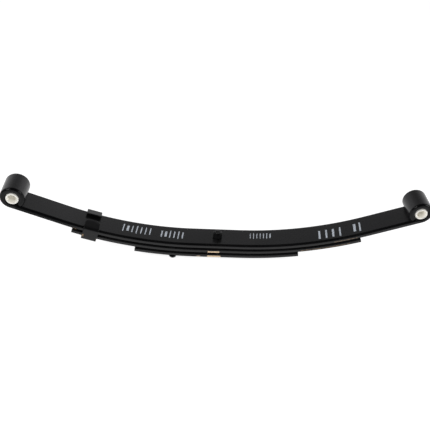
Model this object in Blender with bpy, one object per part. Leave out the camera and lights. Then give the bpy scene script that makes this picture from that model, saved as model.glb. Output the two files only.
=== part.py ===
"""Three-leaf trailer spring: rolled eyes with nylon bushings, a centre bolt and a riveted rebound clip.

Metres, +Z up. X runs along the spring, Y across the leaves. The origin is under the centre bolt's head,
the lowest point, and the front end, which carries the rebound clip, is at -X.
"""

import math

import bmesh
import bpy
from mathutils import Matrix, Vector

# Driving dimensions
EYE_TO_EYE = 0.6414
LEAF_WIDTH = 0.04445
LEAF_THICKNESS = 0.009144  # 0.360 inch
EDGE_RADIUS = 0.0038  # rolled edge of the flat bar
SEAT_LENGTH = 0.076  # flat stretch that the axle seat clamps
SEAT_CLEAR = 0.012  # from the centre bolt to where the flats that the clamp bears on begin
SEAT_RISE = 0.00002  # of those flats, which keeps them faces of their own beside the nut
CAMBER_RADIUS = 0.582  # of the main leaf's middle line
CAMBERED_LENGTH = 0.216  # of each limb's arc, past the seat, before it runs straight to the eye
EYE_BORE_RADIUS = 0.01
EYE_WRAP = math.radians(300)
SECOND_LEAF_LENGTH = 0.472
THIRD_LEAF_LENGTH = 0.2665
GAP = 0.0003  # between pieces that touch

BUSHING_RADIUS = 0.0097
BUSHING_BORE_RADIUS = 0.00715  # takes a 9/16 inch bolt
BUSHING_LENGTH = 0.0451
BUSHING_CHAMFER = 0.0008

BOLT_RADIUS = 0.00476  # 3/8 inch
BOLT_HEAD_RADIUS = 0.0079
BOLT_HEAD_HEIGHT = 0.0064
BOLT_CHAMFER = 0.0007
BOLT_PAST_NUT = 0.0012
NUT_ACROSS_FLATS = 0.0143
NUT_HEIGHT = 0.0083
NUT_CHAMFER = 0.0011

CLIP_FROM_CENTER = 0.2075  # along the leaf
CLIP_WIDTH = 0.024
CLIP_THICKNESS = 0.003
CLIP_GAP = 0.0006
CLIP_BEND_RADIUS = 0.0016  # inside
CLIP_NEAR_TONGUE = 0.0165  # past its bend, over the main leaf
CLIP_FAR_TAB = 0.0129
CLIP_TAB_LIFT = math.radians(10)  # by which the folded ends stop short of lying flat
CLIP_TONGUE_ROUND = 0.007
CLIP_CORNER = 0.0015

RIVET_RADIUS = 0.00396
RIVET_HEAD_RADIUS = 0.0068
RIVET_HEAD_HEIGHT = 0.0042
STUD_RADIUS = 0.003
STUD_HEAD_RADIUS = 0.0066
STUD_HEAD_HEIGHT = 0.0056
STUD_FROM_CENTER = 0.072
STUD_ACROSS = -0.0165

FLEX_PIVOT = 0.070  # from the centre bolt: where each limb's bending acts as one hinge
CLIP_PIVOT = 0.137  # the same for the stretch of leaf under the clip
CLIP_PIVOT_RISE = 0.010

CAMBER_STEPS = 14
EYE_STEPS = 28
CORNER_STEPS = 4
ROUND_STEPS = 40

# Worked out from them
PITCH = LEAF_THICKNESS + GAP
STACK_BOTTOM = BOLT_HEAD_HEIGHT + GAP
MAIN_Z = STACK_BOTTOM + 2 * PITCH + LEAF_THICKNESS / 2  # main leaf's middle line at the seat
STACK_TOP = MAIN_Z + LEAF_THICKNESS / 2
SEAT_HALF = SEAT_LENGTH / 2
EYE_RADIUS = EYE_BORE_RADIUS + LEAF_THICKNESS / 2  # of the rolled middle line
END_SLOPE = CAMBERED_LENGTH / CAMBER_RADIUS
CAMBER_CENTER = Vector((SEAT_HALF, 0, MAIN_Z + CAMBER_RADIUS))


def camber(length):
    """Middle line of the main leaf at this length from the centre bolt: its point and its slope."""
    slope = min(max(length - SEAT_HALF, 0) / CAMBER_RADIUS, END_SLOPE)
    point = CAMBER_CENTER + CAMBER_RADIUS * Vector((math.sin(slope), 0, -math.cos(slope)))
    straight = length - SEAT_HALF - CAMBER_RADIUS * slope
    return point + straight * Vector((math.cos(slope), 0, math.sin(slope))), slope


def eye_place():
    """Straight length from the end of the camber to the eye, and the eye's centre at +X."""
    end, slope = camber(SEAT_HALF + CAMBERED_LENGTH)
    tangent_x = EYE_TO_EYE / 2 + EYE_RADIUS * math.sin(slope)
    straight = (tangent_x - end.x) / math.cos(slope)
    tangent, slope = camber(SEAT_HALF + CAMBERED_LENGTH + straight)
    return straight, tangent + EYE_RADIUS * Vector((-math.sin(slope), 0, math.cos(slope)))


def material(name, color, roughness, metallic):
    made = bpy.data.materials.new(name)
    made.use_nodes = True
    shader = made.node_tree.nodes["Principled BSDF"]
    shader.inputs["Base Color"].default_value = (*color, 1)
    shader.inputs["Roughness"].default_value = roughness
    shader.inputs["Metallic"].default_value = metallic
    return made


def add_object(name, bm, look):
    """The finished mesh as an object, smooth but for its real edges."""
    bmesh.ops.recalc_face_normals(bm, faces=bm.faces)
    mesh = bpy.data.meshes.new(name)
    bm.to_mesh(mesh)
    bm.free()
    mesh.shade_smooth()
    mesh.set_sharp_from_angle(angle=math.radians(35))
    if look:
        mesh.materials.append(look)
    obj = bpy.data.objects.new(name, mesh)
    bpy.context.scene.collection.objects.link(obj)
    return obj


def cut(target, cutter, operation="DIFFERENCE"):
    cutter.hide_render = True
    cutter.display_type = "WIRE"
    boolean = target.modifiers.new(cutter.name, "BOOLEAN")
    boolean.operation = operation
    boolean.solver = "EXACT"
    boolean.object = cutter


def ring(bm, points):
    """Closed loop of edges through these points."""
    verts = [bm.verts.new(point) for point in points]
    return [bm.edges.new((a, b)) for a, b in zip(verts, verts[1:] + verts[:1])]


def bar_section(width, thickness, radius):
    """Outline of a flat bar with rounded edges, across Y and up Z, centred on nothing."""
    points = []
    for quarter in range(4):
        side_y = 1 if quarter in (0, 3) else -1
        side_z = 1 if quarter in (0, 1) else -1
        for step in range(CORNER_STEPS + 1):
            angle = math.pi / 2 * (quarter + step / CORNER_STEPS)
            points.append((
                side_y * (width / 2 - radius) + radius * math.cos(angle),
                side_z * (thickness / 2 - radius) + radius * math.sin(angle),
            ))
    return points


def push(bm, edges, offset):
    """Extrudes the loop of edges straight and returns the new loop."""
    made = bmesh.ops.extrude_edge_only(bm, edges=edges)["geom"]
    moved = [item for item in made if isinstance(item, bmesh.types.BMVert)]
    bmesh.ops.translate(bm, verts=moved, vec=offset)
    return [item for item in made if isinstance(item, bmesh.types.BMEdge)]


def bend(bm, edges, center, axis, angle, steps):
    """Spins the loop of edges about an axis and returns the new loop."""
    corners = list({vert for edge in edges for vert in edge.verts})
    made = bmesh.ops.spin(
        bm, geom=corners + list(edges), cent=center, axis=axis, angle=angle, steps=steps
    )["geom_last"]
    return [item for item in made if isinstance(item, bmesh.types.BMEdge)]


def leaf(name, drop, camber_length, rolled, look):
    """One leaf as a half bar bent along the camber, mirrored at the centre bolt and closed at its ends."""
    bm = bmesh.new()
    section = bar_section(LEAF_WIDTH, LEAF_THICKNESS, EDGE_RADIUS)
    loop = ring(bm, [(0, y, MAIN_Z - drop + z) for y, z in section])
    loop = push(bm, loop, (SEAT_CLEAR, 0, 0))
    loop = push(bm, loop, (SEAT_HALF - SEAT_CLEAR, 0, SEAT_RISE))
    slope = camber_length / CAMBER_RADIUS
    steps = max(1, round(CAMBER_STEPS * camber_length / CAMBERED_LENGTH))
    loop = bend(bm, loop, CAMBER_CENTER, (0, -1, 0), slope, steps)
    if rolled:
        straight, eye = eye_place()
        loop = push(bm, loop, straight * Vector((math.cos(slope), 0, math.sin(slope))))
        bend(bm, loop, eye, (0, -1, 0), EYE_WRAP, EYE_STEPS)
    bmesh.ops.mirror(bm, geom=bm.verts[:] + bm.edges[:] + bm.faces[:], axis="X", merge_dist=1e-5)
    bmesh.ops.remove_doubles(bm, verts=bm.verts, dist=1e-6)
    bmesh.ops.holes_fill(bm, edges=[edge for edge in bm.edges if edge.is_boundary], sides=0)
    return add_object(name, bm, look)


def turned(name, profile, look=None, steps=ROUND_STEPS):
    """Solid of revolution about Z from (radius, z) points, closed on the axis or back on itself."""
    bm = bmesh.new()
    verts = [bm.verts.new((radius, 0, z)) for radius, z in profile]
    if profile[0][0] > 0:
        verts.append(verts[0])
    for a, b in zip(verts, verts[1:]):
        bm.edges.new((a, b))
    bmesh.ops.spin(
        bm, geom=bm.verts[:] + bm.edges[:], cent=(0, 0, 0), axis=(0, 0, 1),
        angle=math.tau, steps=steps, use_merge=True,
    )
    bmesh.ops.remove_doubles(bm, verts=bm.verts, dist=1e-6)
    return add_object(name, bm, look)


def dome(radius, height, steps, side):
    """(radius, z) points of a button head standing on z = 0, from its rim to the axis."""
    return [
        (radius * math.cos(math.pi / 2 * i / steps), side * height * math.sin(math.pi / 2 * i / steps))
        for i in range(steps + 1)
    ]


def drill(target, name, radius, place):
    """Cuts a round hole through the target along the place's Z."""
    cutter = turned(name, [(0, -0.03), (radius, -0.03), (radius, 0.03), (0, 0.03)])
    cutter.matrix_world = place
    cut(target, cutter)


def bushing(name, center, look):
    half = BUSHING_LENGTH / 2
    inner = BUSHING_BORE_RADIUS
    outer = BUSHING_RADIUS
    made = turned(name, [
        (inner, -half + BUSHING_CHAMFER),
        (inner + BUSHING_CHAMFER, -half),
        (outer - BUSHING_CHAMFER, -half),
        (outer, -half + BUSHING_CHAMFER),
        (outer, half - BUSHING_CHAMFER),
        (outer - BUSHING_CHAMFER, half),
        (inner + BUSHING_CHAMFER, half),
        (inner, half - BUSHING_CHAMFER),
    ], look)
    made.matrix_world = Matrix.Translation(center) @ Matrix.Rotation(math.pi / 2, 4, "X")
    return made


def center_bolt(look):
    top = STACK_TOP + GAP + NUT_HEIGHT + BOLT_PAST_NUT
    return turned("center_bolt", [
        (0, 0),
        (BOLT_HEAD_RADIUS - BOLT_CHAMFER, 0),
        (BOLT_HEAD_RADIUS, BOLT_CHAMFER),
        (BOLT_HEAD_RADIUS, BOLT_HEAD_HEIGHT),
        (BOLT_RADIUS, BOLT_HEAD_HEIGHT),
        (BOLT_RADIUS, top - BOLT_CHAMFER),
        (BOLT_RADIUS - BOLT_CHAMFER, top),
        (0, top),
    ], look)


def center_nut(look):
    """Hexagon with a corner towards each edge of the leaf, its top and bottom corners turned off."""
    bm = bmesh.new()
    corner = NUT_ACROSS_FLATS / math.sqrt(3)
    bottom = STACK_TOP + GAP
    bmesh.ops.create_cone(
        bm, cap_ends=True, segments=6, radius1=corner, radius2=corner, depth=NUT_HEIGHT,
        matrix=Matrix.Translation((0, 0, bottom + NUT_HEIGHT / 2)),
    )
    nut = add_object("center_nut", bm, look)
    flat = NUT_ACROSS_FLATS / 2
    rim = corner + NUT_CHAMFER
    cut(nut, turned("nut_chamfer", [
        (0, bottom - GAP),
        (flat - NUT_CHAMFER, bottom - GAP),
        (rim, bottom + NUT_CHAMFER),
        (rim, bottom + NUT_HEIGHT - NUT_CHAMFER),
        (flat - NUT_CHAMFER, bottom + NUT_HEIGHT + GAP),
        (0, bottom + NUT_HEIGHT + GAP),
    ]), "INTERSECT")
    drill(nut, "nut_bore", BOLT_RADIUS + GAP, Matrix.Translation((0, 0, bottom)))
    return nut


def leaf_place(length, side):
    """Matrix of a spot on the main leaf's middle line: X along the leaf to +X, Z off its top face."""
    point, slope = camber(length)
    point.x *= side
    return Matrix.Translation(point) @ Matrix.Rotation(-slope * side, 4, "Y")


def rebound_clip(place, look):
    """Strap bent round the two upper leaves: flat under the second leaf, its ends folded over the main."""
    inner_y = LEAF_WIDTH / 2 + CLIP_GAP
    inner_top = LEAF_THICKNESS / 2 + CLIP_GAP
    inner_bottom = -LEAF_THICKNESS / 2 - PITCH - CLIP_GAP
    middle = CLIP_BEND_RADIUS + CLIP_THICKNESS / 2
    corner_y = inner_y - CLIP_BEND_RADIUS
    upright = inner_top - inner_bottom - 2 * CLIP_BEND_RADIUS
    bm = bmesh.new()
    half_width = CLIP_WIDTH / 2
    bend_z = inner_top - CLIP_BEND_RADIUS
    half = CLIP_THICKNESS / 2
    across = (1, 0, 0)
    lift = Matrix.Rotation(CLIP_TAB_LIFT, 3, across)
    near_bend = Vector((0, -corner_y, bend_z))
    loop = ring(bm, [
        near_bend + lift @ Vector((x, CLIP_NEAR_TONGUE, middle + z))
        for x, z in ((-half_width, -half), (half_width, -half), (half_width, half), (-half_width, half))
    ])
    first = list(loop)
    bend_steps = 5
    fold = math.pi / 2 - CLIP_TAB_LIFT
    loop = push(bm, loop, lift @ Vector((0, -CLIP_NEAR_TONGUE, 0)))
    loop = bend(bm, loop, near_bend, across, fold, bend_steps)
    loop = push(bm, loop, (0, 0, -upright))
    loop = bend(bm, loop, (0, -corner_y, inner_bottom + CLIP_BEND_RADIUS), across, math.pi / 2, bend_steps)
    loop = push(bm, loop, (0, 2 * corner_y, 0))
    loop = bend(bm, loop, (0, corner_y, inner_bottom + CLIP_BEND_RADIUS), across, math.pi / 2, bend_steps)
    loop = push(bm, loop, (0, 0, upright))
    loop = bend(bm, loop, (0, corner_y, bend_z), across, fold, bend_steps)
    loop = push(bm, loop, lift.transposed() @ Vector((0, -CLIP_FAR_TAB, 0)))
    last = list(loop)
    for edges, round_off in ((first, CLIP_TONGUE_ROUND), (last, CLIP_CORNER)):
        bmesh.ops.contextual_create(bm, geom=edges)
        upright_edges = [e for e in edges if abs(e.verts[0].co.z - e.verts[1].co.z) > half]
        bmesh.ops.bevel(
            bm, geom=upright_edges, offset=round_off, offset_type="OFFSET", segments=6,
            profile=0.5, affect="EDGES", material=-1, clamp_overlap=False,
        )
    made = add_object("rebound_clip", bm, look)
    made.matrix_world = place
    return made


def clip_rivet(place, look):
    """Rivet through the strap and the second leaf, its inner end flush with the leaf's upper face."""
    under = -LEAF_THICKNESS / 2 - PITCH - CLIP_GAP - CLIP_THICKNESS - GAP
    inner_end = -LEAF_THICKNESS / 2 - 2 * GAP
    head = dome(RIVET_HEAD_RADIUS, RIVET_HEAD_HEIGHT, 6, -1)
    profile = [(radius, under + z) for radius, z in reversed(head)]
    profile += [(RIVET_RADIUS, under), (RIVET_RADIUS, inner_end), (0, inner_end)]
    made = turned("rebound_clip_rivet", profile, look, steps=24)
    made.matrix_world = place
    return made


def third_leaf_rivet(place, look):
    """Button-headed rivet through the third leaf, close to its edge."""
    under = -LEAF_THICKNESS / 2 - 2 * PITCH - GAP
    inner_end = -LEAF_THICKNESS / 2 - PITCH - 2 * GAP
    head = dome(STUD_HEAD_RADIUS, STUD_HEAD_HEIGHT, 6, -1)
    profile = [(radius, under + z) for radius, z in reversed(head)]
    profile += [(STUD_RADIUS, under), (STUD_RADIUS, inner_end), (0, inner_end)]
    made = turned("third_leaf_rivet", profile, look, steps=24)
    made.matrix_world = place
    return made


def axis_empty(name, x, z, children):
    """Empty on a joint's axis, with the pieces that turn about it as its children."""
    empty = bpy.data.objects.new(name, None)
    empty.location = (x, 0, z)
    bpy.context.scene.collection.objects.link(empty)
    for child in children:
        child.parent = empty
        child.matrix_parent_inverse = Matrix.Translation((-x, 0, -z))


def main():
    for obj in list(bpy.data.objects):
        bpy.data.objects.remove(obj)

    paint = material("black_paint", (0.012, 0.012, 0.013), 0.35, 0.0)
    nut_finish = material("dark_zinc", (0.02, 0.02, 0.022), 0.4, 0.6)
    nylon = material("white_nylon", (0.82, 0.83, 0.82), 0.45, 0.0)

    main_leaf = leaf("main_leaf", 0, CAMBERED_LENGTH, True, paint)
    second_leaf = leaf("second_leaf", PITCH, SECOND_LEAF_LENGTH / 2 - SEAT_HALF, False, paint)
    third_leaf = leaf("third_leaf", 2 * PITCH, THIRD_LEAF_LENGTH / 2 - SEAT_HALF, False, paint)
    for number, piece in enumerate((main_leaf, second_leaf, third_leaf), 1):
        drill(piece, f"bolt_hole_{number}", BOLT_RADIUS + GAP, Matrix.Translation((0, 0, MAIN_Z)))
    center_bolt(nut_finish)
    center_nut(nut_finish)

    clip_place = leaf_place(CLIP_FROM_CENTER, -1)
    clip = rebound_clip(clip_place, paint)
    rivet = clip_rivet(clip_place, paint)
    drill(clip, "clip_rivet_hole", RIVET_RADIUS + GAP, clip_place @ Matrix.Translation((0, 0, -0.035)))
    drill(second_leaf, "leaf_rivet_hole", RIVET_RADIUS + GAP, clip_place)
    stud_place = leaf_place(STUD_FROM_CENTER, -1) @ Matrix.Translation((0, STUD_ACROSS, 0))
    third_leaf_rivet(stud_place, paint)
    drill(third_leaf, "stud_hole", STUD_RADIUS + GAP, stud_place)

    eye = eye_place()[1]
    front = bushing("front_bushing", (-eye.x, 0, eye.z), nylon)
    rear = bushing("rear_bushing", (eye.x, 0, eye.z), nylon)

    pivot_z = camber(FLEX_PIVOT)[0].z
    axis_empty("front_flex_axis", -FLEX_PIVOT, pivot_z, [front])
    axis_empty("rear_flex_axis", FLEX_PIVOT, pivot_z, [rear])
    axis_empty("clip_axis", -CLIP_PIVOT, MAIN_Z + CLIP_PIVOT_RISE, [clip, rivet])


main()
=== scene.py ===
"""Three-leaf trailer spring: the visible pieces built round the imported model, their finishes and a stage.

Metres, +Z up. X runs along the spring and Y across its leaves. The front end, with the clip, is at -X.
"""

import math

import bmesh
import bpy
from bpy.props import FloatProperty, FloatVectorProperty, PointerProperty
from mathutils import Matrix, Vector


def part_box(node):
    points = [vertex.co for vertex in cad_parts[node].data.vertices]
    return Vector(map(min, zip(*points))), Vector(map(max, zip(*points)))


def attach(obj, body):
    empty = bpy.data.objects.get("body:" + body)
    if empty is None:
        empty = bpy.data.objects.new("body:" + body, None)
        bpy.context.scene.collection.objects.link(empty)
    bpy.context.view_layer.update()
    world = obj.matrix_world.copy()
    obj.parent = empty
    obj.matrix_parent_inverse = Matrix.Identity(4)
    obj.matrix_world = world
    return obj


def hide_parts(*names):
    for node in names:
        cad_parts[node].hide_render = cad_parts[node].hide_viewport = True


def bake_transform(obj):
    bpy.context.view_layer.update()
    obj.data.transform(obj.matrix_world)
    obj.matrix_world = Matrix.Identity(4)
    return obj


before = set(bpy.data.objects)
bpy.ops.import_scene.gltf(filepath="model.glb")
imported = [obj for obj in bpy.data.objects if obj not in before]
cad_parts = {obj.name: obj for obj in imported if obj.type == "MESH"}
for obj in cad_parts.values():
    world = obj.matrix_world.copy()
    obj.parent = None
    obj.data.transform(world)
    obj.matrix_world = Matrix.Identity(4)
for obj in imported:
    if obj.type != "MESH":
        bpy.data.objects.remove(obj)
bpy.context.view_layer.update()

bl_info = {
    "name": "Three-leaf trailer spring",
    "version": (1, 0, 0),
    "blender": (4, 5, 0),
    "location": "View3D > Sidebar > Leaf spring",
    "description": "Builds a leaf spring with rolled eyes, bushings, a centre bolt and a rebound clip",
    "category": "Object",
}

BAR_LOW, BAR_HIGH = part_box("second_leaf")
NUT_LOW, NUT_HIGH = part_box("center_nut")
BOLT_LOW, BOLT_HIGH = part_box("center_bolt")
BUSHING_LOW, BUSHING_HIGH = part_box("rear_bushing")

REST_PLACE = "flat_place"  # where each point lay on its bar before it was bent
EDGE_CURVE = "edge_curve"  # how tightly the surface turns there, 0 on a flat and 1 on a rounded edge
CORNER_SEGMENTS = 8
ROUND_STEPS = 64
SHARP_ANGLE = math.radians(35)  # surfaces that meet at more than this keep a crisp edge
WELD = 1e-7  # points closer than this are one
SLACK = 1e-5  # allowed where an edge is picked by its place
LEVEL = 1e-6  # an edge's ends are level within this
DRILL_DEPTH = 0.03  # either way from the drill's place


# Sizes and colours ------------------------------------------------------------------------------------------

def length(name, description, default):
    return FloatProperty(
        name=name, description=description, default=default, min=0, precision=5,
        subtype="DISTANCE", unit="LENGTH",
    )


def angle(name, description, degrees):
    return FloatProperty(name=name, description=description, default=math.radians(degrees), subtype="ANGLE")


def color(name, description, default):
    return FloatVectorProperty(
        name=name, description=description, default=default, min=0, max=1, size=3, subtype="COLOR"
    )


class LeafSizes(bpy.types.PropertyGroup):
    width: length("Width", "Across each leaf", BAR_HIGH.y - BAR_LOW.y)
    thickness: length("Thickness", "Of each leaf", 0.009144)
    edge_radius: length("Edge radius", "Of the rolled edges of the bar", 0.0038)
    gap: length("Gap", "Between two leaves", 0.0003)
    seat_half: length("Half seat", "From the centre bolt to where the camber starts", 0.038)
    camber_radius: length("Camber radius", "Of the main leaf's middle line", 0.582)
    camber_length: length("Camber length", "Along each limb's arc", 0.216)
    straight: length("Straight length", "From the end of the camber to the eye", 0.082528)
    eye_radius: length("Eye radius", "Of the rolled middle line of the eye", 0.014572)
    eye_wrap: angle("Eye wrap", "How far round the eye the leaf goes", 300)
    second_half: length("Half second leaf", "From the centre bolt to its end", 0.236)
    third_half: length("Half third leaf", "From the centre bolt to its end", 0.13325)
    hole_radius: length("Hole radius", "Of the centre bolt's hole", 0.00506)


class HardwareSizes(bpy.types.PropertyGroup):
    bolt_radius: length("Bolt radius", "Of the centre bolt's shank", 0.00476)
    head_radius: length("Head radius", "Of the centre bolt's round head", 0.0079)
    head_height: length("Head height", "Of the centre bolt's head", 0.0064)
    thread_pitch: length("Thread pitch", "Of the centre bolt", 0.00106)
    thread_depth: length("Thread depth", "Of the centre bolt", 0.0006)
    nut_flats: length("Nut across flats", "Of the centre nut", 0.0143)
    nut_chamfer: length("Nut chamfer", "Turned off the nut's corners", 0.0011)
    rivet_head: length("Rivet head radius", "Of the clip's rivet", 0.0068)
    rivet_rise: length("Rivet head height", "Of the clip's rivet", 0.0042)
    rivet_radius: length("Rivet radius", "Of the clip's rivet", 0.00396)
    stud_head: length("Stud head radius", "Of the third leaf's rivet", 0.0066)
    stud_rise: length("Stud head height", "Of the third leaf's rivet", 0.0056)
    stud_radius: length("Stud radius", "Of the third leaf's rivet", 0.003)
    bushing_radius: length("Bushing radius", "Outside the nylon bushing", 0.0097)
    bushing_bore: length("Bushing bore radius", "Inside the nylon bushing", 0.00715)


class ClipSizes(bpy.types.PropertyGroup):
    from_center: length("Place", "From the centre bolt, along the leaf", 0.2075)
    width: length("Width", "Of the strap", 0.024)
    thickness: length("Thickness", "Of the strap", 0.003)
    gap: length("Gap", "Between the strap and the leaves", 0.0006)
    bend_radius: length("Bend radius", "Inside the strap's bends", 0.0016)
    near_tongue: length("Near tongue", "Past its bend, over the main leaf", 0.0165)
    far_tab: length("Far tab", "Past its bend, over the main leaf", 0.0129)
    tongue_round: length("Tongue corner radius", "Of the near tongue's end", 0.007)
    tab_lift: angle("Tab lift", "By which the folded ends stop short of lying flat", 10)


class Finishes(bpy.types.PropertyGroup):
    paint: color("Paint", "Black paint of the leaves and the clip", (0.003, 0.003, 0.0036))
    bare: color("Bare steel", "Worn steel and primer at rubbed edges", (0.22, 0.15, 0.085))
    dab: color("Dab", "Tan paint dabbed on the leaf edges", (0.74, 0.56, 0.37))
    ink: color("Ink", "Chalky marking ink on the main leaf", (0.84, 0.91, 1.0))
    dust: color("Dust", "Fine dust on the upper faces", (0.2, 0.19, 0.18))
    hardware: color("Hardware", "Black finish of the bolt and nut", (0.0025, 0.0025, 0.003))
    nylon: color("Nylon", "White nylon of the bushings", (0.93, 0.91, 0.85))


class StageSizes(bpy.types.PropertyGroup):
    camera_place: FloatVectorProperty(
        name="Camera place", description="Where the camera stands",
        default=(-0.077, -0.77125, 0.67417), size=3, subtype="TRANSLATION", unit="LENGTH", precision=5,
    )
    camera_turn: FloatVectorProperty(
        name="Camera turn", description="How the camera is turned, in degrees about X, Y and Z",
        default=(52.3924, -4.1682, -1.9633), size=3, precision=4,
    )
    lens: FloatProperty(
        name="Lens", description="Focal length in millimetres on a 36 mm sensor", default=50.387, precision=3
    )
    floor_radius: length("Floor radius", "Of the pale floor", 14.0)
    key_power: FloatProperty(name="Key power", description="Of each large soft light, in watts", default=15.0)


# Shapes -----------------------------------------------------------------------------------------------------

def along(stretches, reach):
    """Point and heading after this length of a path of (length, turn) stretches, in the path's own plane."""
    x = z = heading = 0.0
    for stretch, turn in stretches:
        step = min(reach, stretch)
        if turn:
            radius = stretch / turn
            after = heading + step / radius
            x += radius * (math.sin(after) - math.sin(heading))
            z += radius * (math.cos(heading) - math.cos(after))
            heading = after
        else:
            x += step * math.cos(heading)
            z += step * math.sin(heading)
        reach -= step
        if reach <= 0:
            break
    return x, z, heading


def stations(stretches, pitches):
    """Lengths along the path where the bar is divided, each stretch at its own pitch."""
    found, start = [], 0.0
    for (stretch, _), pitch in zip(stretches, pitches):
        count = max(1, math.ceil(stretch / pitch))
        found += [start + stretch * step / count for step in range(count)]
        start += stretch
    return found[1:]


def bevel(bm, edges, offset, segments=CORNER_SEGMENTS):
    bmesh.ops.bevel(
        bm, geom=edges, offset=offset, offset_type="OFFSET", segments=segments,
        profile=0.5, affect="EDGES", material=-1, clamp_overlap=False,
    )


def slice_bar(bm, cuts, direction):
    """Divides the mesh by planes across this direction."""
    for place in cuts:
        bmesh.ops.bisect_plane(
            bm, geom=bm.verts[:] + bm.edges[:] + bm.faces[:], dist=WELD,
            plane_co=place * Vector(direction), plane_no=direction,
        )


def block(length_x, width, thickness):
    """Box from X 0 to this length, centred on the X axis."""
    bm = bmesh.new()
    middle = Matrix.Translation((length_x / 2, 0, 0))
    bmesh.ops.create_cube(bm, size=1, matrix=middle @ Matrix.Diagonal((length_x, width, thickness, 1)))
    return bm


def flat_bar(reach, width, thickness, radius):
    """Straight bar from X 0 to its reach, with rounded long edges and a dressed far end."""
    end_bevel = 0.0004
    inside_y, inside_z = 0.0005, 0.0003  # from the end of the rounding to the first cut on the flat
    bm = block(reach, width, thickness)
    far = reach - SLACK
    bevel(bm, [e for e in bm.edges if abs(e.verts[0].co.x - e.verts[1].co.x) > far], radius)
    bevel(bm, [e for e in bm.edges if all(v.co.x > far for v in e.verts)], end_bevel, 2)
    flat_y = width / 2 - radius - inside_y
    flat_z = thickness / 2 - radius - inside_z
    slice_bar(bm, (-flat_y, 0, flat_y), (0, 1, 0))
    if flat_z > 0:
        slice_bar(bm, (-flat_z, flat_z), (0, 0, 1))
    return bm


def add_piece(name, bm):
    """The mesh as an object at the origin, smooth but for its real edges."""
    bmesh.ops.remove_doubles(bm, verts=bm.verts, dist=WELD)
    bmesh.ops.recalc_face_normals(bm, faces=bm.faces)
    mesh = bpy.data.meshes.new(name)
    bm.to_mesh(mesh)
    bm.free()
    mesh.shade_smooth()
    obj = bpy.data.objects.new(name, mesh)
    bpy.context.scene.collection.objects.link(obj)
    return obj


def carve(piece, cutter, operation="DIFFERENCE"):
    """Cuts the piece with the cutter for good, and removes the cutter."""
    boolean = piece.modifiers.new("carve", "BOOLEAN")
    boolean.operation = operation
    boolean.solver = "EXACT"
    boolean.object = cutter
    bpy.context.view_layer.update()
    shaped = bpy.data.meshes.new_from_object(piece.evaluated_get(bpy.context.evaluated_depsgraph_get()))
    piece.modifiers.clear()
    piece.data = shaped
    shaped.name = piece.name
    bpy.data.objects.remove(cutter)


def turned(name, profile, place=None):
    """Solid of revolution about Z from (radius, z) points, closed on the axis or back on itself."""
    bm = bmesh.new()
    verts = [bm.verts.new((radius, 0, z)) for radius, z in profile]
    if profile[0][0] > 0:
        verts.append(verts[0])
    for a, b in zip(verts, verts[1:]):
        bm.edges.new((a, b))
    bmesh.ops.spin(
        bm, geom=bm.verts[:] + bm.edges[:], cent=(0, 0, 0), axis=(0, 0, 1),
        angle=math.tau, steps=ROUND_STEPS, use_merge=True,
    )
    bmesh.ops.remove_doubles(bm, verts=bm.verts, dist=WELD)
    if place:
        bmesh.ops.transform(bm, matrix=place, verts=bm.verts)
    return add_piece(name, bm)


def drill(piece, radius, place):
    low, high = -DRILL_DEPTH, DRILL_DEPTH
    carve(piece, turned("drill", [(0, low), (radius, low), (radius, high), (0, high)], place))


def softened(profile, radius):
    """The (radius, z) points with each inner corner rounded off, the first and the last kept."""
    steps = 3
    most = 0.45  # of a side goes to one corner
    rounded = [profile[0]]
    for before, corner, after in zip(profile, profile[1:], profile[2:]):
        corner = Vector(corner)
        enter = Vector(before) - corner
        leave = Vector(after) - corner
        reach = min(radius, enter.length * most, leave.length * most)
        enter = corner + enter.normalized() * reach
        leave = corner + leave.normalized() * reach
        for step in range(steps + 1):
            share = step / steps
            point = enter.lerp(corner, share).lerp(corner.lerp(leave, share), share)
            rounded.append((point.x, point.y))
    rounded.append(profile[-1])
    return rounded


def bend_along(mesh, stretches, place, side=1):
    """Bends the flat bar along the path and keeps where each of its points lay on it."""
    rest = mesh.attributes.new(REST_PLACE, "FLOAT_VECTOR", "POINT")
    for vert, kept in zip(mesh.vertices, rest.data):
        flat = vert.co.copy()
        kept.vector = (flat.x * side, flat.y, flat.z)
        x, z, heading = along(stretches, flat.x)
        normal = Vector((-math.sin(heading), 0, math.cos(heading)))
        vert.co = place @ (Vector((x, flat.y, z)) + flat.z * normal)
    if place.determinant() < 0:
        mesh.flip_normals()


def mark_edges(mesh):
    """Stores how tightly the surface turns outwards at each point, for the wear."""
    bm = bmesh.new()
    bm.from_mesh(mesh)
    full_turn = 0.004  # a turn of a radian in this length counts as an edge
    tightness = []
    for vert in bm.verts:
        tight = 0.0
        for edge in vert.link_edges:
            if len(edge.link_faces) == 2:
                a, b = (face.calc_center_median() for face in edge.link_faces)
                middle = (edge.verts[0].co + edge.verts[1].co) / 2
                span = (a - middle).cross(edge.verts[1].co - edge.verts[0].co).length
                span += (b - middle).cross(edge.verts[1].co - edge.verts[0].co).length
                span /= max(edge.calc_length(), 1e-9)
                tight = max(tight, edge.calc_face_angle_signed(0) / max(span, 1e-5))
        tightness.append(min(max(tight * full_turn, 0), 1))
    bm.free()
    mesh.attributes.new(EDGE_CURVE, "FLOAT", "POINT").data.foreach_set("value", tightness)


def finish(piece, body, nodes, look, toward=None):
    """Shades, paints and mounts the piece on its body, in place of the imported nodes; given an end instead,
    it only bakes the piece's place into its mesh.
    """
    mesh = piece.data
    mesh.shade_smooth()
    mesh.set_sharp_from_angle(angle=SHARP_ANGLE)
    mark_edges(mesh)
    mesh.materials.clear()
    mesh.materials.append(look)
    if toward:
        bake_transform(piece)
    else:
        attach(piece, body)
    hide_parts(*nodes)
    return piece


def main_line(leaf):
    """The main leaf's middle line from the centre bolt to the end of an eye."""
    return [
        (leaf.seat_half, 0),
        (leaf.camber_length, leaf.camber_length / leaf.camber_radius),
        (leaf.straight, 0),
        (leaf.eye_radius * leaf.eye_wrap, leaf.eye_wrap),
    ]


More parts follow.
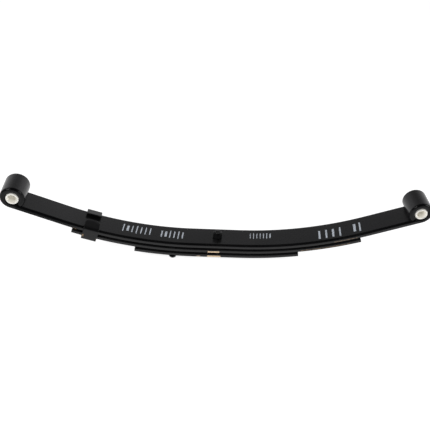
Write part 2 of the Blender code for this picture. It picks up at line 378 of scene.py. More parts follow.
def main_height(leaf):
    """Height of the main leaf's middle line at the seat."""
    return NUT_LOW.z - leaf.gap - leaf.thickness / 2


def leaf_place(leaf, reach):
    """Matrix of a spot on the front limb's middle line: X along the leaf to the rear, Z out of its top."""
    x, z, heading = along(main_line(leaf), reach)
    return Matrix.Translation((-x, 0, main_height(leaf) + z)) @ Matrix.Rotation(heading, 4, "Y")


# Finishes ---------------------------------------------------------------------------------------------------

class Tree:
    """Short ways to add nodes to one node tree and join them."""

    def __init__(self, tree):
        self.tree = tree

    def node(self, kind, inputs=None, **settings):
        made = self.tree.nodes.new(kind)
        for key, value in settings.items():
            setattr(made, key, value)
        for key, value in (inputs or {}).items():
            if isinstance(value, bpy.types.NodeSocket):
                self.tree.links.new(value, made.inputs[key])
            else:
                made.inputs[key].default_value = value
        return made

    def math(self, operation, a, b=0.0, c=0.0, clamp=False):
        inputs = {0: a, 1: b, 2: c} if operation == "MULTIPLY_ADD" else {0: a, 1: b}
        return self.node("ShaderNodeMath", inputs, operation=operation, use_clamp=clamp).outputs[0]

    def ramp(self, value, low, high, to_low=0.0, to_high=1.0):
        """Smooth step of the value from low to high."""
        inputs = {"Value": value, "From Min": low, "From Max": high, "To Min": to_low, "To Max": to_high}
        return self.node("ShaderNodeMapRange", inputs, interpolation_type="SMOOTHSTEP").outputs["Result"]

    def noise(self, vector, scale, detail=3.0, roughness=0.55):
        inputs = {"Vector": vector, "Scale": scale, "Detail": detail, "Roughness": roughness}
        return self.node("ShaderNodeTexNoise", inputs).outputs["Fac"]

    def blend(self, factor, under, over):
        """Colour over another by a factor."""
        made = self.node("ShaderNodeMix", data_type="RGBA", blend_type="MIX")
        for socket, value in zip((made.inputs[0], made.inputs[6], made.inputs[7]), (factor, under, over)):
            if isinstance(value, bpy.types.NodeSocket):
                self.tree.links.new(value, socket)
            else:
                socket.default_value = value
        return made.outputs[2]

    def attribute(self, name, output="Vector"):
        return self.node("ShaderNodeAttribute", attribute_name=name).outputs[output]


def effect(name, inputs, outputs):
    """Empty shader node group with these sockets, as its tree and its input and output."""
    group = bpy.data.node_groups.new(name, "ShaderNodeTree")
    kinds = {"float": "NodeSocketFloat", "vector": "NodeSocketVector", "color": "NodeSocketColor"}
    for label, kind, default in inputs:
        socket = group.interface.new_socket(label, in_out="INPUT", socket_type=kinds[kind])
        if default is not None:
            socket.default_value = default
    for label, kind in outputs:
        group.interface.new_socket(label, in_out="OUTPUT", socket_type=kinds[kind])
    tree = Tree(group)
    return tree, tree.node("NodeGroupInput").outputs, tree.node("NodeGroupOutput").inputs


def paint_skin_effect():
    """Sprayed paint over rolled steel: its sheen, its orange peel and the mill's faint lines."""
    tree, given, out = effect(
        "Paint skin",
        [("Vector", "vector", None), ("Roughness", "float", 0.3), ("Spread", "float", 0.08),
         ("Stretch", "float", 0.2)],
        [("Roughness", "float"), ("Height", "float"), ("Shade", "float")],
    )
    join = tree.tree.links.new
    scaled = tree.node("ShaderNodeCombineXYZ", {0: given["Stretch"], 1: 1.0, 2: 1.0}).outputs[0]
    lengthwise = tree.node(
        "ShaderNodeVectorMath", {0: given["Vector"], 1: scaled}, operation="MULTIPLY"
    ).outputs[0]
    clouds = tree.noise(lengthwise, 55.0, 4.0)
    lines = tree.noise(lengthwise, 420.0, 2.0)
    peel = tree.noise(given["Vector"], 850.0, 2.0)
    grit = tree.noise(given["Vector"], 2600.0, 1.0)
    sheen = tree.math("ADD", tree.math("MULTIPLY", clouds, 0.6), tree.math("MULTIPLY", lines, 0.4))
    sheen = tree.math("SUBTRACT", sheen, 0.5)
    join(tree.math("MULTIPLY_ADD", sheen, tree.math("MULTIPLY", given["Spread"], 2.0), given["Roughness"]),
         out["Roughness"])
    height = tree.math("MULTIPLY_ADD", peel, 0.6, tree.math("MULTIPLY", lines, 0.5))
    join(tree.math("MULTIPLY_ADD", grit, 0.25, height), out["Height"])
    join(tree.ramp(clouds, 0.3, 0.7, 0.8, 1.25), out["Shade"])


def edge_wear_effect():
    """Where rubbing has taken the finish off rounded edges, in patches and as a finer chipped line."""
    tree, given, out = effect(
        "Edge wear",
        [("Vector", "vector", None), ("Edge", "float", 0.0), ("Amount", "float", 0.5),
         ("Scale", "float", 60.0)],
        [("Mask", "float")],
    )
    patches = tree.noise(given["Vector"], given["Scale"], 3.0)
    chips = tree.noise(given["Vector"], tree.math("MULTIPLY", given["Scale"], 9.0), 3.0, 0.7)
    mixed = tree.math("MULTIPLY_ADD", chips, 0.45, tree.math("MULTIPLY", patches, 0.55))
    limit = tree.math("SUBTRACT", 0.74, tree.math("MULTIPLY", given["Amount"], 0.3))
    raised = tree.math("SUBTRACT", mixed, limit)
    worn = tree.math("MULTIPLY", raised, 18.0, clamp=True)
    tree.tree.links.new(tree.math("MULTIPLY", worn, given["Edge"]), out["Mask"])


def dust_effect():
    """Fine dust that settles on faces that look up, thicker in soft clouds."""
    tree, given, out = effect(
        "Dust", [("Vector", "vector", None), ("Amount", "float", 0.1)], [("Mask", "float")]
    )
    normal = tree.node("ShaderNodeNewGeometry").outputs["Normal"]
    settled = tree.ramp(tree.node("ShaderNodeSeparateXYZ", {0: normal}).outputs[2], 0.35, 1.0)
    clouds = tree.ramp(tree.noise(given["Vector"], 28.0, 4.0), 0.35, 0.75, 0.35, 1.0)
    specks = tree.ramp(tree.noise(given["Vector"], 1900.0, 1.0), 0.66, 0.74)
    cover = tree.math("MULTIPLY_ADD", specks, 0.8, tree.math("MULTIPLY", clouds, 0.5))
    tree.tree.links.new(
        tree.math("MULTIPLY", tree.math("MULTIPLY", cover, settled), given["Amount"]), out["Mask"]
    )


def tally_effect():
    """A row of plain slanted strokes, each its own length, as rolled on with worn marking ink."""
    tree, given, out = effect(
        "Tally row",
        [("Vector", "vector", None), ("Start", "float", 0.0), ("Pitch", "float", 0.005),
         ("Count", "float", 6.0), ("Stroke", "float", 0.001), ("Height", "float", 0.008),
         ("Across", "float", 0.0), ("Lean", "float", 0.12), ("Seed", "float", 0.0)],
        [("Mask", "float")],
    )
    split = tree.node("ShaderNodeSeparateXYZ", {0: given["Vector"]}).outputs
    rise = tree.math("SUBTRACT", split[1], given["Across"])
    leaned = tree.math("SUBTRACT", split[0], tree.math("MULTIPLY", rise, given["Lean"]))
    steps = tree.math("DIVIDE", tree.math("SUBTRACT", leaned, given["Start"]), given["Pitch"])
    cell = tree.math("FLOOR", steps)
    inside = tree.math("SUBTRACT", tree.math("FRACT", steps), 0.5)
    sideways = tree.math("MULTIPLY", tree.math("ABSOLUTE", inside), given["Pitch"])
    chance = tree.node(
        "ShaderNodeTexWhiteNoise", {"W": tree.math("ADD", cell, given["Seed"])}, noise_dimensions="1D"
    ).outputs["Value"]
    half_height = tree.math("MULTIPLY", given["Height"], tree.ramp(chance, 0.0, 1.0, 0.34, 0.5))
    width = tree.math("MULTIPLY", given["Stroke"], tree.ramp(chance, 0.0, 0.6, 1.1, 0.5))
    soft = 0.00025
    in_width = tree.ramp(tree.math("SUBTRACT", sideways, width), soft, -soft)
    in_height = tree.ramp(tree.math("SUBTRACT", tree.math("ABSOLUTE", rise), half_height), soft, -soft)
    started = tree.math("GREATER_THAN", steps, 0.0)
    ended = tree.math("LESS_THAN", steps, given["Count"])
    in_stroke = tree.math("MULTIPLY", in_width, in_height)
    mask = tree.math("MULTIPLY", in_stroke, tree.math("MULTIPLY", started, ended))
    worn = tree.ramp(tree.noise(given["Vector"], 700.0, 3.0, 0.7), 0.36, 0.56, 0.35, 1.0)
    tree.tree.links.new(tree.math("MULTIPLY", mask, worn), out["Mask"])


def patch_effect():
    """A dab of paint: a soft-edged box of the bar, ragged by noise."""
    tree, given, out = effect(
        "Dab",
        [("Vector", "vector", None), ("Center", "vector", None), ("Half", "vector", None),
         ("Ragged", "float", 0.001)],
        [("Mask", "float")],
    )
    ragged = tree.math("SUBTRACT", tree.noise(given["Vector"], 420.0, 3.0), 0.5)
    ragged = tree.math("MULTIPLY", ragged, given["Ragged"])
    away = tree.node(
        "ShaderNodeVectorMath", {0: given["Vector"], 1: given["Center"]}, operation="SUBTRACT"
    ).outputs[0]
    away = tree.node("ShaderNodeVectorMath", {0: away}, operation="ABSOLUTE").outputs[0]
    away = tree.node("ShaderNodeVectorMath", {0: away, 1: given["Half"]}, operation="SUBTRACT").outputs[0]
    split = tree.node("ShaderNodeSeparateXYZ", {0: away}).outputs
    outside = tree.math("MAXIMUM", tree.math("MAXIMUM", split[0], split[1]), split[2])
    tree.tree.links.new(tree.ramp(tree.math("ADD", outside, ragged), 0.0002, -0.0003), out["Mask"])


def seam_shade_effect():
    """Painted shade: takes the gloss off the lower rounding of a leaf, the front limb's edges and the eyes,
    so that they reflect dark.
    """
    tree, given, out = effect(
        "Seam painted shade",
        [("Vector", "vector", None), ("Bottom", "float", -0.0045), ("Gloss", "float", 0.4)],
        [("Gloss", "float")],
    )
    split = tree.node("ShaderNodeSeparateXYZ", {0: given["Vector"]}).outputs
    above = tree.math("SUBTRACT", split[2], given["Bottom"])
    on_edge = tree.ramp(tree.math("ABSOLUTE", split[1]), 0.018, 0.02)
    in_eye = tree.ramp(tree.math("ABSOLUTE", split[0]), 0.325, 0.335)
    # painted shade: darker reflections low on the leaf edges, on the front limb's edges and on the eyes
    low_down = tree.ramp(above, 0.0042, 0.0014, 0.0, 0.92)
    far_forward = tree.ramp(split[0], -0.2, -0.27, 0.0, 0.7)
    painted_dark = tree.math("MULTIPLY", tree.math("MAXIMUM", low_down, far_forward), on_edge)
    painted_dark = tree.math("MULTIPLY", painted_dark, tree.math("SUBTRACT", 1.0, in_eye))
    eye_painted_dark = tree.math("MULTIPLY", in_eye, tree.math("MULTIPLY_ADD", on_edge, 0.3, 0.25))
    painted_dark = tree.math("MAXIMUM", painted_dark, eye_painted_dark)
    unshaded = tree.math("SUBTRACT", 1.0, painted_dark)
    tree.tree.links.new(tree.math("MULTIPLY", unshaded, given["Gloss"]), out["Gloss"])


def use(tree, name, **inputs):
    """Places an effect with its own values, as its outputs."""
    made = tree.node("ShaderNodeGroup", node_tree=bpy.data.node_groups[name])
    for key, value in inputs.items():
        if isinstance(value, bpy.types.NodeSocket):
            tree.tree.links.new(value, made.inputs[key])
        else:
            made.inputs[key].default_value = value
    return made.outputs


def opaque(rgb):
    return (*rgb, 1.0)


def new_material(name):
    made = bpy.data.materials.new(name)
    made.use_nodes = True
    return Tree(made.node_tree), made.node_tree.nodes["Principled BSDF"], made


def painted_steel(name, finishes, vector_of, paint, roughness, wear, dust,
                  marks=(), dabs=(), rubs=(), stretch=0.2, gloss=0.36, seam=0.0):
    """Sprayed steel with worn edges, dust, painted shade that dulls the gloss of the lower seam, and this
    piece's own marks, dabs and rubs.
    """
    tree, shader, made = new_material(name)
    vector = vector_of(tree)
    skin = use(tree, "Paint skin", Vector=vector, Roughness=roughness, Stretch=stretch)
    worn = use(tree, "Edge wear", Vector=vector, Edge=tree.attribute(EDGE_CURVE, "Fac"), Amount=wear)["Mask"]
    dusty = use(tree, "Dust", Vector=vector, Amount=dust)["Mask"]
    shaded = tree.blend(skin["Shade"], (0.0, 0.0, 0.0, 1.0), opaque(paint))
    painted = tree.blend(worn, shaded, opaque(finishes.bare))
    rough = tree.math("MULTIPLY_ADD", worn, 0.25, skin["Roughness"])
    layers = (("Tally row", finishes.ink, marks), ("Dab", finishes.dab, dabs), ("Dab", finishes.bare, rubs))
    for kind, tint, items in layers:
        for values in items:
            mask = use(tree, kind, Vector=vector, **values)["Mask"]
            painted = tree.blend(mask, painted, opaque(tint))
            rough = tree.math("MULTIPLY_ADD", mask, 0.2, rough)
    painted = tree.blend(dusty, painted, opaque(finishes.dust))
    rough = tree.math("MULTIPLY_ADD", dusty, 0.5, rough)
    tree.tree.links.new(painted, shader.inputs["Base Color"])
    tree.tree.links.new(rough, shader.inputs["Roughness"])
    shader.inputs["Specular IOR Level"].default_value = gloss
    # painted shade: the seam effect lowers the gloss where the leaf edges and eyes should reflect dark
    if seam:
        left = use(tree, "Seam painted shade", Vector=vector, Bottom=-seam, Gloss=gloss)["Gloss"]
        tree.tree.links.new(left, shader.inputs["Specular IOR Level"])
    bump = tree.node("ShaderNodeBump", {"Height": skin["Height"], "Strength": 0.12, "Distance": 0.0004})
    tree.tree.links.new(bump.outputs["Normal"], shader.inputs["Normal"])
    return made


def object_vector(tree):
    return tree.node("ShaderNodeTexCoord").outputs["Object"]


def flat_vector(tree):
    return tree.attribute(REST_PLACE)


def main_leaf_paint(finishes, thickness):
    """The main leaf carries rows of plain ink strokes on its upper face, and is rubbed at its near edge."""
    rows = (
        dict(Start=-0.1605, Pitch=0.0074, Count=7.0, Stroke=0.0017, Height=0.0195, Across=0.0015, Seed=3.0),
        dict(Start=-0.0965, Pitch=0.0070, Count=6.0, Stroke=0.0017, Height=0.0195, Across=0.0, Seed=11.0),
        dict(Start=0.053, Pitch=0.0056, Count=7.0, Stroke=0.0013, Height=0.0145, Across=0.0044, Seed=5.0),
        dict(Start=0.166, Pitch=0.0115, Count=4.0, Stroke=0.002, Height=0.0265, Across=-0.0045, Seed=21.0),
        dict(Start=0.2265, Pitch=0.0088, Count=2.0, Stroke=0.002, Height=0.0265, Across=-0.0026, Seed=33.0),
    )
    near_edge = -0.0222
    rubs = (
        dict(Center=(-0.2326, near_edge, -0.0038), Half=(0.0028, 0.0028, 0.0016), Ragged=0.002),
        dict(Center=(0.212, near_edge, -0.0006), Half=(0.019, 0.0026, 0.0004), Ragged=0.0016),
    )
    return painted_steel(
        "main_leaf_paint", finishes, flat_vector, finishes.paint, roughness=0.24, wear=0.12, dust=0.03,
        marks=rows, rubs=rubs, seam=thickness / 2,
    )


def lower_leaf_paint(name, finishes, leaf, dabs, rubs=()):
    """A lower leaf carries tan dabs on its near edge, and may be rubbed bare there.

    Each dab or rub is its place along the leaf, its half length, its height off the leaf's middle, its half
    height and how ragged it is.
    """
    dabs, rubs = (
        [dict(Center=(center, -leaf.width / 2, height), Half=(half, 0.0024, tall), Ragged=ragged)
         for center, half, height, tall, ragged in boxes]
        for boxes in (dabs, rubs)
    )
    return painted_steel(
        name, finishes, flat_vector, finishes.paint, roughness=0.24, wear=0.2, dust=0.03,
        dabs=dabs, rubs=rubs, seam=leaf.thickness / 2,
    )


def clip_paint(finishes, spots):
    """The clip's paint is rubbed through at these spots."""
    rubs = [dict(Center=spot, Half=(half, half, half), Ragged=0.004) for spot, half in spots]
    return painted_steel(
        "clip_paint", finishes, object_vector, finishes.paint, roughness=0.3, wear=0.3, dust=0.04,
        rubs=rubs, stretch=1.0, gloss=0.3,
    )


def hardware_finish(finishes):
    return painted_steel(
        "black_hardware", finishes, object_vector, finishes.hardware, roughness=0.3, wear=0.1, dust=0.02,
        stretch=1.0, gloss=0.2,
    )


def white_nylon(finishes):
    """Moulded nylon, faintly mottled, with a faint painted glow that brightens it."""
    tree, shader, made = new_material("white_nylon")
    vector = object_vector(tree)
    mottle = tree.noise(vector, 260.0, 3.0)
    tree.tree.links.new(
        tree.blend(tree.ramp(mottle, 0.3, 0.8, 0.0, 0.12), opaque(finishes.nylon), (0.6, 0.56, 0.48, 1.0)),
        shader.inputs["Base Color"],
    )
    # painted glow: a faint emission brightens the nylon, which is no lamp
    shader.inputs["Emission Color"].default_value = opaque(finishes.nylon)
    shader.inputs["Emission Strength"].default_value = 0.05
    tree.tree.links.new(tree.ramp(mottle, 0.2, 0.8, 0.36, 0.5), shader.inputs["Roughness"])
    bump = tree.node("ShaderNodeBump", {"Height": mottle, "Strength": 0.08, "Distance": 0.0002})
    tree.tree.links.new(bump.outputs["Normal"], shader.inputs["Normal"])
    return made


# Operators --------------------------------------------------------------------------------------------------

class SPRING_OT_leaves(bpy.types.Operator):
    """Build the three leaves, each as a front and a rear half"""

    bl_idname = "spring.leaves"
    bl_label = "Leaves"

    def execute(self, context):
        leaf = context.scene.spring_leaf
        looks = context.scene.spring_finishes
        pitch = leaf.thickness + leaf.gap
        line = main_line(leaf)
        full = sum(stretch for stretch, _ in line)
        cuts = stations(line, (0.004, 0.004, 0.005, 0.0014))
        clear_of_end = 0.0008  # the last cut stays off the bevelled end
        leaves = (
            ("main_leaf", full, 0.0, main_leaf_paint(looks, leaf.thickness)),
            ("second_leaf", leaf.second_half, pitch,
             lower_leaf_paint("second_leaf_paint", looks, leaf, (
                 (-0.0062, 0.0096, -0.001, 0.0017, 0.0006),
             ), ((0.178, 0.04, -0.0003, 0.0004, 0.0022),))),
            ("third_leaf", leaf.third_half, 2 * pitch,
             lower_leaf_paint("third_leaf_paint", looks, leaf, (
                 (-0.005, 0.0112, -0.001, 0.0017, 0.0008), (-0.031, 0.0032, -0.0014, 0.0008, 0.0015),
             ))),
        )
        for name, reach, drop, look in leaves:
            for end, side in (("front", -1), ("rear", 1)):
                bm = flat_bar(reach, leaf.width, leaf.thickness, leaf.edge_radius)
                slice_bar(bm, [cut for cut in cuts if cut < reach - clear_of_end], (1, 0, 0))
                piece = add_piece(f"{name}_{end}", bm)
                drill(piece, leaf.hole_radius, Matrix.Identity(4))
                if (name, end) == ("second_leaf", "front"):
                    drill(piece, context.scene.spring_hardware.rivet_radius + leaf.gap,
                          Matrix.Translation((context.scene.spring_clip.from_center, 0, 0)))
                middle = Matrix.Translation((0, 0, main_height(leaf)))
                for vert in piece.data.vertices:
                    vert.co.z -= drop
                bend_along(piece.data, line, Matrix.Diagonal((side, 1, 1, 1)) @ middle, side)
                for kept in piece.data.attributes[REST_PLACE].data:
                    kept.vector.z += drop
                finish(piece, "leaf_pack", [name], look, toward=f"{end}_eye")
        return {"FINISHED"}


class SPRING_OT_bushings(bpy.types.Operator):
    """Build the nylon bushings in the eyes"""

    bl_idname = "spring.bushings"
    bl_label = "Bushings"

    def execute(self, context):
        sizes = context.scene.spring_hardware
        look = white_nylon(context.scene.spring_finishes)
        half = (BUSHING_HIGH.y - BUSHING_LOW.y) / 2
        inner, outer = sizes.bushing_bore, sizes.bushing_radius
        lead, rim, ease = 0.0009, 0.0008, 0.0006  # chamfers: in the bore, outside, and across the end face
        profile = [
            (inner, 0), (inner, half - lead), (inner + ease, half), (outer - ease, half),
            (outer, half - rim), (outer, -half + rim), (outer - ease, -half),
            (inner + ease, -half), (inner, -half + lead), (inner, 0),
        ]
        profile = softened(profile, 0.0004)[:-1]
        for end in ("front", "rear"):
            low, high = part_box(f"{end}_bushing")
            place = Matrix.Translation((low + high) / 2) @ Matrix.Rotation(math.pi / 2, 4, "X")
            piece = turned(f"{end}_nylon_bushing", profile, place)
            finish(piece, f"{end}_eye", [f"{end}_bushing"], look)
        return {"FINISHED"}


class SPRING_OT_center_bolt(bpy.types.Operator):
    """Build the centre bolt, with its thread, and its nut"""

    bl_idname = "spring.center_bolt"
    bl_label = "Centre bolt and nut"

    def execute(self, context):
        sizes = context.scene.spring_hardware
        look = hardware_finish(context.scene.spring_finishes)
        below_nut, head_edge = 0.002, 0.0007
        thread_start = NUT_LOW.z - below_nut
        shank = turned("center_bolt_head", softened([
            (0, BOLT_LOW.z), (sizes.head_radius - head_edge, BOLT_LOW.z),
            (sizes.head_radius, BOLT_LOW.z + head_edge),
            (sizes.head_radius, sizes.head_height), (sizes.bolt_radius, sizes.head_height),
            (sizes.bolt_radius, thread_start), (0, thread_start),
        ], 0.0003))
        finish(shank, "leaf_pack", ["center_bolt"], look)
        thread = self.thread(sizes, thread_start)
        finish(thread, "leaf_pack", ["center_bolt"], look)
        finish(self.nut(sizes), "leaf_pack", ["center_nut"], look)
        return {"FINISHED"}

    def thread(self, sizes, start):
        """One turn of the thread's profile swept up a helix, trimmed flat and closed."""
        pitch = sizes.thread_pitch
        crest, root = sizes.bolt_radius, sizes.bolt_radius - sizes.thread_depth
        top = BOLT_HIGH.z
        steps = 48
        turns = math.ceil((top - start) / pitch) + 2
        bm = bmesh.new()
        verts = [
            bm.verts.new((radius, 0, start - 1.5 * pitch + share * pitch))
            for radius, share in ((root, 0), (crest, 0.4), (crest, 0.5), (root, 0.9), (root, 1))
        ]
        for a, b in zip(verts, verts[1:]):
            bm.edges.new((a, b))
        bmesh.ops.spin(
            bm, geom=bm.verts[:] + bm.edges[:], cent=(0, 0, 0), axis=(0, 0, 1),
            dvec=(0, 0, pitch / steps), angle=math.tau * turns, steps=steps * turns,
        )
        turn_weld = 2e-6  # each turn's foot lies on the last turn's
        bmesh.ops.remove_doubles(bm, verts=bm.verts, dist=turn_weld)
        for place, normal in ((start, (0, 0, -1)), (top, (0, 0, 1))):
            bmesh.ops.bisect_plane(
                bm, geom=bm.verts[:] + bm.edges[:] + bm.faces[:], dist=WELD,
                plane_co=(0, 0, place), plane_no=normal, clear_outer=True,
            )
            rim = [
                e for e in bm.edges
                if e.is_boundary and all(abs(v.co.z - place) < LEVEL for v in e.verts)
            ]
            bmesh.ops.holes_fill(bm, edges=rim, sides=0)
        piece = add_piece("center_bolt_thread", bm)
        point = sizes.bolt_radius - 0.0007  # the tip's flat end
        wide, below, above = 0.02, 0.01, 0.001  # past the thread on every side
        carve(piece, turned("point", [
            (0, start - below), (wide, start - below), (wide, top - wide + point), (point, top),
            (0, top + above),
        ]), "INTERSECT")
        return piece

    def nut(self, sizes):
        corner = sizes.nut_flats / math.sqrt(3)
        height = NUT_HIGH.z - NUT_LOW.z
        bm = bmesh.new()
        bmesh.ops.create_cone(
            bm, cap_ends=True, segments=6, radius1=corner, radius2=corner, depth=height,
            matrix=Matrix.Translation((0, 0, NUT_LOW.z + height / 2)),
        )
        corner_round = 0.0003
        uprights = [e for e in bm.edges if abs(e.verts[0].co.z - e.verts[1].co.z) > height / 2]
        bevel(bm, uprights, corner_round, 3)
        piece = add_piece("center_hex_nut", bm)
        rim, flat = corner + sizes.nut_chamfer, sizes.nut_flats / 2
        chamfer = sizes.nut_chamfer
        slope = chamfer * 1.35
        carve(piece, turned("chamfers", [
            (0, NUT_LOW.z), (flat - chamfer, NUT_LOW.z), (rim, NUT_LOW.z + slope),
            (rim, NUT_HIGH.z - slope), (flat - chamfer, NUT_HIGH.z), (0, NUT_HIGH.z),
        ]), "INTERSECT")
        clearance, sink, sink_low, sink_high, past = 0.0003, 0.001, 0.0006, 0.0004, 0.01
        hole = sizes.bolt_radius + clearance
        carve(piece, turned("countersunk_hole", [
            (0, NUT_LOW.z - past), (hole, NUT_LOW.z - past), (hole, NUT_HIGH.z - sink_low),
            (hole + sink, NUT_HIGH.z + sink_high), (hole + sink, NUT_HIGH.z + past), (0, NUT_HIGH.z + past),
        ]))
        return piece


class SPRING_OT_rebound_clip(bpy.types.Operator):
    """Build the strap folded round the two upper leaves, and its rivet"""

    bl_idname = "spring.rebound_clip"
    bl_label = "Rebound clip"

    def execute(self, context):
        leaf = context.scene.spring_leaf
        sizes = context.scene.spring_clip
        hardware = context.scene.spring_hardware
        place = leaf_place(leaf, sizes.from_center)
        inner_y = leaf.width / 2 + sizes.gap
        inner_top = leaf.thickness / 2 + sizes.gap
        inner_bottom = -leaf.thickness * 1.5 - leaf.gap - sizes.gap
        outer_y = inner_y + sizes.thickness
        look = clip_paint(context.scene.spring_finishes, (
            (place @ Vector((-sizes.width / 2 + 0.0005, -outer_y, inner_bottom + 0.0062)), 0.0021),
            (place @ Vector((sizes.width / 2, -outer_y, inner_bottom + 0.004)), 0.0009),
        ))
        middle = sizes.bend_radius + sizes.thickness / 2
        fold = math.pi / 2 - sizes.tab_lift
        wall = inner_top - inner_bottom - 2 * sizes.bend_radius
        strap_line = [
            (sizes.near_tongue, 0), (middle * fold, fold), (wall, 0), (middle * math.pi / 2, math.pi / 2),
            (2 * (inner_y - sizes.bend_radius), 0), (middle * math.pi / 2, math.pi / 2), (wall, 0),
            (middle * fold, fold), (sizes.far_tab, 0),
        ]
        full = sum(stretch for stretch, _ in strap_line)
        bm = self.strap(full, sizes)
        flat, bend, base = 0.004, 0.0004, 0.006  # pitches of the cuts
        pitches = (flat, bend, flat, bend, base, bend, flat, bend, flat)
        slice_bar(bm, stations(strap_line, pitches), (1, 0, 0))
        piece = add_piece("rebound_clip_strap", bm)
        near_bend = Vector((0, -(inner_y - sizes.bend_radius), inner_top - sizes.bend_radius))
        lift = Matrix.Rotation(sizes.tab_lift, 4, "X")
        tip = Matrix.Translation(near_bend) @ lift @ Matrix.Translation((0, sizes.near_tongue, middle))
        # The path lies in X-Z with the width on Y: turned to run to -Y, the width on X, its inside below
        to_place = Matrix(((0, 1, 0, 0), (-1, 0, 0, 0), (0, 0, -1, 0), (0, 0, 0, 1)))
        bend_along(piece.data, strap_line, place @ tip @ to_place)
        below_leaves = Matrix.Translation((0, 0, -0.035))  # the drill stops short of the folded ends
        drill(piece, hardware.rivet_radius + leaf.gap, place @ below_leaves)
        finish(piece, "clip", ["rebound_clip"], look)

        under = inner_bottom - sizes.thickness - leaf.gap
        rivet = dome_rivet("rebound_clip_rivet_head", hardware.rivet_head, hardware.rivet_rise,
                           hardware.rivet_radius, under, -leaf.thickness / 2 - 2 * leaf.gap, place)
        finish(rivet, "clip", ["rebound_clip_rivet"], look)
        return {"FINISHED"}

    def strap(self, full, sizes):
        """Flat strap with eased edges, its first end rounded and its last end square with small corners."""
        tab_corner, ease, inside = 0.0012, 0.0005, 0.001
        square = 1  # radian: more than the rounded corners turn between two faces
        bm = block(full, sizes.width, sizes.thickness)
        for at_end, radius, steps in ((lambda x: x < SLACK, sizes.tongue_round, 14),
                                      (lambda x: x > full - SLACK, tab_corner, 4)):
            uprights = [
                e for e in bm.edges
                if all(at_end(v.co.x) for v in e.verts) and abs(e.verts[0].co.z - e.verts[1].co.z) > SLACK
            ]
            bevel(bm, uprights, radius, steps)
        rims = [e for e in bm.edges if abs(e.verts[0].co.z - e.verts[1].co.z) < LEVEL
                and len(e.link_faces) == 2 and e.calc_face_angle(0) > square]
        bevel(bm, rims, ease, 3)
        slice_bar(bm, (-sizes.width / 2 + inside, 0, sizes.width / 2 - inside), (0, 1, 0))
        return bm


def dome_rivet(name, radius, rise, shank, under, top, place):
    """Button-headed rivet below this height, its shank up to the top."""
    steps = 10
    head = [
        (radius * math.sin(math.pi / 2 * step / steps), under - rise * math.cos(math.pi / 2 * step / steps))
        for step in range(steps + 1)
    ]
    head[0] = (0, head[0][1])
    return turned(name, head + [(radius - 0.0002, under), (shank, under), (shank, top), (0, top)], place)


class SPRING_OT_third_leaf_rivet(bpy.types.Operator):
    """Build the button-headed rivet under the third leaf"""

    bl_idname = "spring.third_leaf_rivet"
    bl_label = "Third leaf rivet"

    def execute(self, context):
        leaf = context.scene.spring_leaf
        sizes = context.scene.spring_hardware
        low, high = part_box("third_leaf_rivet")
        from_center = 0.072
        place = leaf_place(leaf, from_center) @ Matrix.Translation((0, (low.y + high.y) / 2, 0))
        pitch = leaf.thickness + leaf.gap
        under = -leaf.thickness / 2 - 2 * pitch - leaf.gap
        top = -leaf.thickness / 2 - pitch - 2 * leaf.gap
        rivet = dome_rivet("third_leaf_rivet_head", sizes.stud_head, sizes.stud_rise, sizes.stud_radius,
                           under, top, place)
        look = bpy.data.materials["black_hardware"]
        finish(rivet, "leaf_pack", ["third_leaf_rivet"], look)
        return {"FINISHED"}


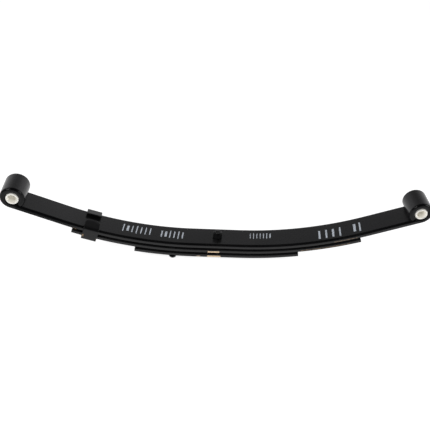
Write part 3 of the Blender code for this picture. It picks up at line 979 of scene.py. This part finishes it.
class SPRING_OT_stage(bpy.types.Operator):
    """Set the camera, the pale floor, the soft lights and the dim room"""

    bl_idname = "spring.stage"
    bl_label = "Stage"

    def execute(self, context):
        scene = context.scene
        sizes = scene.spring_stage
        camera = bpy.data.objects.new("camera", bpy.data.cameras.new("camera"))
        camera.data.sensor_width = 36
        camera.data.lens = sizes.lens
        camera.data.clip_end = 100
        camera.location = sizes.camera_place
        camera.rotation_euler = [math.radians(turn) for turn in sizes.camera_turn]
        scene.collection.objects.link(camera)
        scene.camera = camera
        scene.view_settings.view_transform = "Standard"

        bm = bmesh.new()
        bmesh.ops.create_circle(bm, cap_ends=True, segments=96, radius=sizes.floor_radius)
        under_head = -0.0002
        bmesh.ops.translate(bm, verts=bm.verts, vec=(0, 0, under_head))
        mesh = bpy.data.meshes.new("pale_floor")
        bm.to_mesh(mesh)
        bm.free()
        tree, shader, made = new_material("pale_floor")
        shader.inputs["Base Color"].default_value = (0.5, 0.5, 0.5, 1)
        shader.inputs["Roughness"].default_value = 0.9
        shader.inputs["Specular IOR Level"].default_value = 0.0
        shader.inputs["Emission Color"].default_value = (1, 1, 1, 1)
        shader.inputs["Emission Strength"].default_value = 0.88
        mesh.materials.append(made)
        floor = bpy.data.objects.new("pale_floor", mesh)
        scene.collection.objects.link(floor)

        light_distance = 2.2
        for name, toward, size in (
            ("right_front_light", (0.76, -0.42, 0.5), 0.8),
            ("left_front_light", (-0.6, -0.45, 0.66), 0.7),
        ):
            light = bpy.data.lights.new(name, "AREA")
            light.shape = "DISK"
            light.size = size
            light.energy = sizes.key_power
            lamp = bpy.data.objects.new(name, light)
            lamp.location = Vector(toward).normalized() * light_distance
            lamp.rotation_euler = Vector(toward).to_track_quat("Z", "Y").to_euler()
            scene.collection.objects.link(lamp)
        self.room(scene)
        return {"FINISHED"}

    def room(self, scene):
        """Soft room light from behind that fades to a dark ceiling and a dark near side."""
        world = bpy.data.worlds.new("room")
        scene.world = world
        world.use_nodes = True
        tree = Tree(world.node_tree)
        background = world.node_tree.nodes["Background"]
        toward = tree.node(
            "ShaderNodeSeparateXYZ", {0: tree.node("ShaderNodeTexCoord").outputs["Generated"]}
        ).outputs
        ramp = tree.node("ShaderNodeValToRGB", {0: toward[2]})
        ramp.color_ramp.interpolation = "EASE"
        levels = ((0.0, 1.0), (0.3, 1.0), (0.5, 0.7), (0.65, 0.42), (0.85, 0.05))
        stops = ramp.color_ramp.elements
        while len(stops) < len(levels):
            stops.new(0.5)
        for stop, (place, level) in zip(stops, levels):
            stop.position = place
            stop.color = (level, level, level * 1.02, 1)
        world.node_tree.links.new(ramp.outputs["Color"], background.inputs["Color"])
        strength = tree.ramp(toward[1], -0.1, 0.45, 0.03, 1.0)
        world.node_tree.links.new(strength, background.inputs["Strength"])


class SPRING_PT_panel(bpy.types.Panel):
    """Sizes and builders of the leaf spring"""

    bl_label = "Leaf spring"
    bl_idname = "SPRING_PT_panel"
    bl_space_type = "VIEW_3D"
    bl_region_type = "UI"
    bl_category = "Leaf spring"

    def draw(self, context):
        for group in SETTINGS:
            box = self.layout.box()
            settings = getattr(context.scene, group)
            for name in settings.__annotations__:
                box.prop(settings, name)
        for operator in BUILDERS:
            self.layout.operator(operator.bl_idname)


SETTINGS = {
    "spring_leaf": LeafSizes,
    "spring_hardware": HardwareSizes,
    "spring_clip": ClipSizes,
    "spring_finishes": Finishes,
    "spring_stage": StageSizes,
}
BUILDERS = (
    SPRING_OT_stage,
    SPRING_OT_leaves,
    SPRING_OT_bushings,
    SPRING_OT_center_bolt,
    SPRING_OT_rebound_clip,
    SPRING_OT_third_leaf_rivet,
)


def register():
    for name, group in SETTINGS.items():
        bpy.utils.register_class(group)
        setattr(bpy.types.Scene, name, PointerProperty(type=group))
    for operator in BUILDERS:
        bpy.utils.register_class(operator)
    bpy.utils.register_class(SPRING_PT_panel)


def unregister():
    bpy.utils.unregister_class(SPRING_PT_panel)
    for operator in reversed(BUILDERS):
        bpy.utils.unregister_class(operator)
    for name, group in reversed(SETTINGS.items()):
        delattr(bpy.types.Scene, name)
        bpy.utils.unregister_class(group)


def main():
    register()
    for build in (paint_skin_effect, edge_wear_effect, dust_effect, tally_effect, patch_effect, seam_shade_effect):
        build()
    bpy.ops.spring.stage()
    bpy.ops.spring.leaves()
    bpy.ops.spring.bushings()
    bpy.ops.spring.center_bolt()
    bpy.ops.spring.rebound_clip()
    bpy.ops.spring.third_leaf_rivet()


if __name__ == "__main__":
    main()
